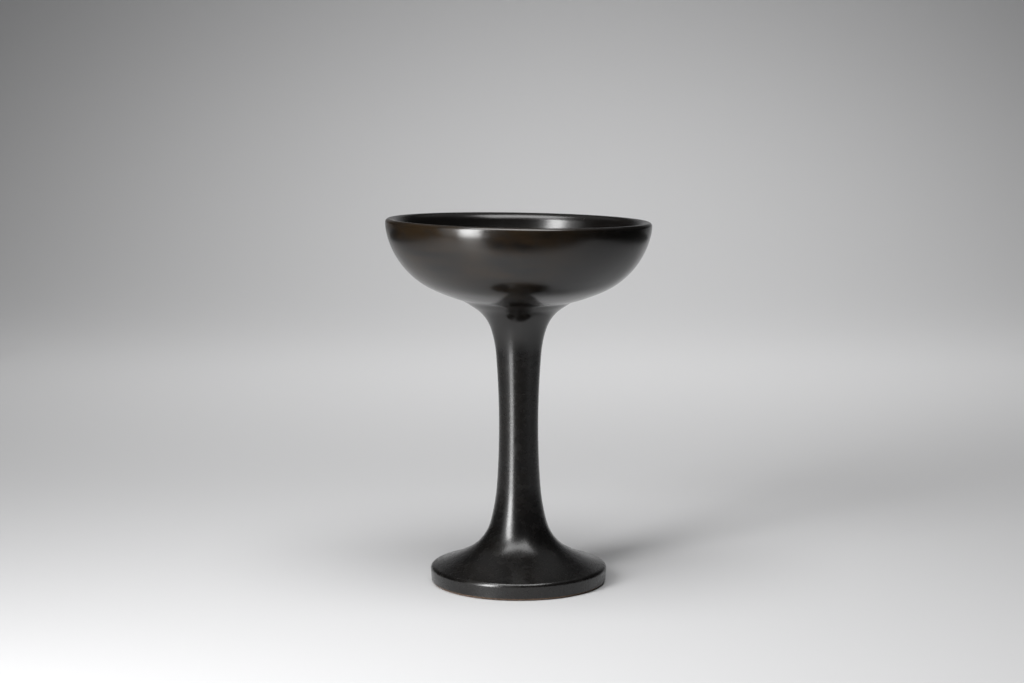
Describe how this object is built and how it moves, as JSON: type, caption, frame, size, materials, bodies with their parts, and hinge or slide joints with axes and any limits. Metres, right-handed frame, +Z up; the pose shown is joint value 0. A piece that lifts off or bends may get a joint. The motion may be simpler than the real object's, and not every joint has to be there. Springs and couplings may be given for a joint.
{
  "type": "stemmed ceramic cup",
  "caption": "Dark glazed ceramic chalice: a wide shallow bowl on a slender hollow stem with a spreading round foot.",
  "frame": {"origin": "centre of the standing ring, on the surface the cup stands on", "axes": "+Z up along the stem, +X towards the side on which the rim leans slightly lower, +Y away from the viewer of that side view"},
  "size_m": [0.1233, 0.1234, 0.171],
  "materials": {
    "clay": "matt, fired bare",
    "slip": "matt, fired",
    "outside_glaze": "satin, near black with brown breaks",
    "inside_glaze": "satin, near black"
  },
  "bodies": {
    "root": {"bowl": "clay", "stem": "clay", "foot": "clay", "bowl_joint_slip": "slip", "foot_joint_slip": "slip", "bowl_joint_coil": "clay", "lining_glaze": "inside_glaze", "outer_glaze": "outside_glaze", "foot_well_glaze": "outside_glaze"}
  },
  "joints": []
}
